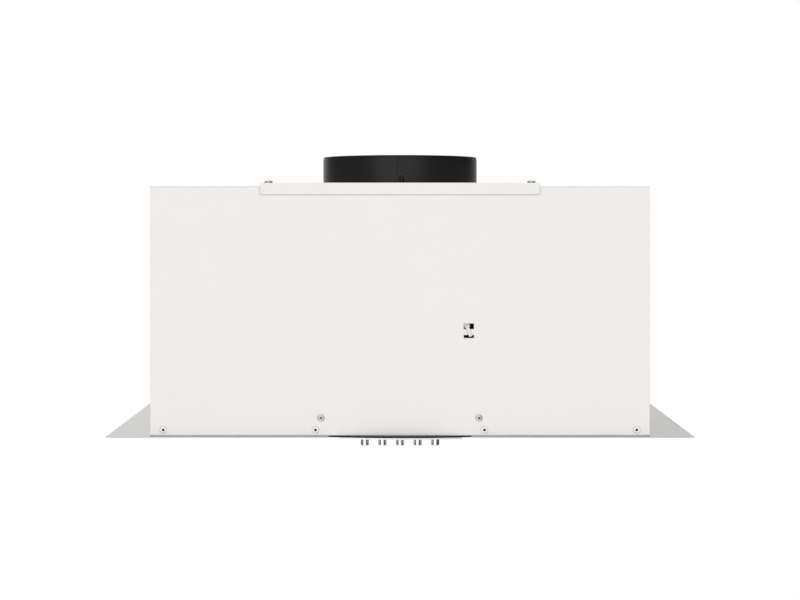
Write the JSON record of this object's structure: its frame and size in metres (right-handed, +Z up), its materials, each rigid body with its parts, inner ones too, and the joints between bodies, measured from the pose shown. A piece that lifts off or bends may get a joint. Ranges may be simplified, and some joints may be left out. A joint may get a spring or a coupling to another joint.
{
  "type": "built-in range hood",
  "caption": "Cabinet range hood: white sheet-metal box with a round duct collar on top and a wide steel flange, push buttons, lamps and grease filters below, and a blower inside.",
  "frame": {"origin": "middle of the box in the plane of the flange's top face, which meets the underside of the cabinet", "axes": "+Z up through the duct collar, +X to the right seen from the room, the front faces -Y"},
  "size_m": [0.528, 0.293, 0.2655],
  "materials": {
    "white_enamel": "white stoved enamel on sheet steel, satin",
    "gasket_foam": "pale closed-cell foam strip",
    "collar_plastic": "black moulded plastic, satin",
    "flap_aluminium": "mill-finish sheet",
    "zinc_fastener": "bright zinc plate",
    "flange_stainless": "brushed stainless sheet",
    "control_plastic": "black moulded plastic, satin",
    "fascia_metal": "pale brushed metal",
    "button_chrome": "bright chrome",
    "bezel_steel": "satin chrome",
    "lens_glass": "frosted glass",
    "holder_plastic": "natural white plastic",
    "filter_aluminium": "bright aluminium",
    "latch_plastic": "dark grey moulded plastic",
    "galvanised_steel": "galvanised sheet with a faint spangle",
    "motor_iron": "laminated and turned steel, oiled",
    "bearing_bronze": "sintered bronze",
    "rubber_black": "black rubber",
    "lead_sheath": "black flexible sheath"
  },
  "bodies": {
    "root": {"body_rivets": "white_enamel", "bracket_screws": "zinc_fastener", "cable_grommet": "rubber_black", "cable_tie": "holder_plastic", "capacitor": "holder_plastic", "capacitor_strap": "galvanised_steel", "collar_screws": "zinc_fastener", "control_cover": "control_plastic", "control_fascia": "fascia_metal", "control_housing": "control_plastic", "control_screws": "zinc_fastener", "cover_gasket": "gasket_foam", "cover_screws": "zinc_fastener", "damper_pin": "zinc_fastener", "flange_frame": "flange_stainless", "front_panel": "white_enamel", "lamp_bezel_left": "bezel_steel", "lamp_bezel_right": "bezel_steel", "lamp_holder_left": "holder_plastic", "lamp_holder_right": "holder_plastic", "lamp_lens_left": "lens_glass", "lamp_lens_right": "lens_glass", "left_side_panel": "white_enamel", "motor_bearings": "bearing_bronze", "motor_bracket": "galvanised_steel", "motor_bushes": "rubber_black", "motor_can": "galvanised_steel", "motor_end_cap": "galvanised_steel", "motor_stator": "motor_iron", "outlet_collar": "collar_plastic", "outlet_cover_plate": "white_enamel", "rear_panel": "white_enamel", "right_side_panel": "white_enamel", "scroll_side_left": "galvanised_steel", "scroll_side_right": "galvanised_steel", "scroll_wrapper": "galvanised_steel", "switch_block": "control_plastic", "terminal_block": "holder_plastic", "terminal_box": "holder_plastic", "terminal_cover": "holder_plastic", "top_panel": "white_enamel", "wiring_loom": "lead_sheath"},
    "wheel": {"impeller_disc": "galvanised_steel", "impeller_blades": "galvanised_steel", "impeller_rings": "galvanised_steel", "motor_shaft": "motor_iron", "motor_rotor": "motor_iron"},
    "flap_left": {"damper_flap_left": "flap_aluminium"},
    "flap_right": {"damper_flap_right": "flap_aluminium"},
    "filter_left": {"filter_frame_left": "filter_aluminium", "filter_mesh_left": "filter_aluminium"},
    "filter_right": {"filter_frame_right": "filter_aluminium", "filter_mesh_right": "filter_aluminium"},
    "latch_left": {"filter_latch_left": "latch_plastic"},
    "latch_right": {"filter_latch_right": "latch_plastic"},
    "off_button": {"off_button": "button_chrome"},
    "speed_1_button": {"speed_1_button": "button_chrome"},
    "speed_2_button": {"speed_2_button": "button_chrome"},
    "speed_3_button": {"speed_3_button": "button_chrome"},
    "lamp_button": {"lamp_button": "button_chrome"}
  },
  "joints": [
    {"name": "wheel_spin", "type": "hinge", "parent": "root", "child": "wheel", "pos_m": [0, -0.0455, 0.108], "axis": [1, 0, 0], "continuous": true},
    {"name": "left_flap_hinge", "type": "hinge", "parent": "root", "child": "flap_left", "pos_m": [0, 0, 0.24], "axis": [0, 1, 0], "range_deg": [0, 75]},
    {"name": "right_flap_hinge", "type": "hinge", "parent": "root", "child": "flap_right", "pos_m": [0, 0, 0.24], "axis": [0, -1, 0], "range_deg": [0, 75]},
    {"name": "left_filter_hinge", "type": "hinge", "parent": "root", "child": "filter_left", "pos_m": [-0.105, 0.1174, -0.001], "axis": [1, 0, 0], "range_deg": [0, 75]},
    {"name": "left_latch_slide", "type": "slide", "parent": "filter_left", "child": "latch_left", "axis": [0, 1, 0], "range_m": [0, 0.005], "stiffness_N_per_m": 300},
    {"name": "right_filter_hinge", "type": "hinge", "parent": "root", "child": "filter_right", "pos_m": [0.105, 0.1174, -0.001], "axis": [1, 0, 0], "range_deg": [0, 75]},
    {"name": "right_latch_slide", "type": "slide", "parent": "filter_right", "child": "latch_right", "axis": [0, 1, 0], "range_m": [0, 0.005], "stiffness_N_per_m": 300},
    {"name": "off_press", "type": "slide", "parent": "root", "child": "off_button", "axis": [0, 0, 1], "range_m": [0, 0.003], "stiffness_N_per_m": 200},
    {"name": "speed_1_press", "type": "slide", "parent": "root", "child": "speed_1_button", "axis": [0, 0, 1], "range_m": [0, 0.003], "stiffness_N_per_m": 200},
    {"name": "speed_2_press", "type": "slide", "parent": "root", "child": "speed_2_button", "axis": [0, 0, 1], "range_m": [0, 0.003], "stiffness_N_per_m": 200},
    {"name": "speed_3_press", "type": "slide", "parent": "root", "child": "speed_3_button", "axis": [0, 0, 1], "range_m": [0, 0.003], "stiffness_N_per_m": 200},
    {"name": "lamp_press", "type": "slide", "parent": "root", "child": "lamp_button", "axis": [0, 0, 1], "range_m": [0, 0.003], "stiffness_N_per_m": 200}
  ]
}
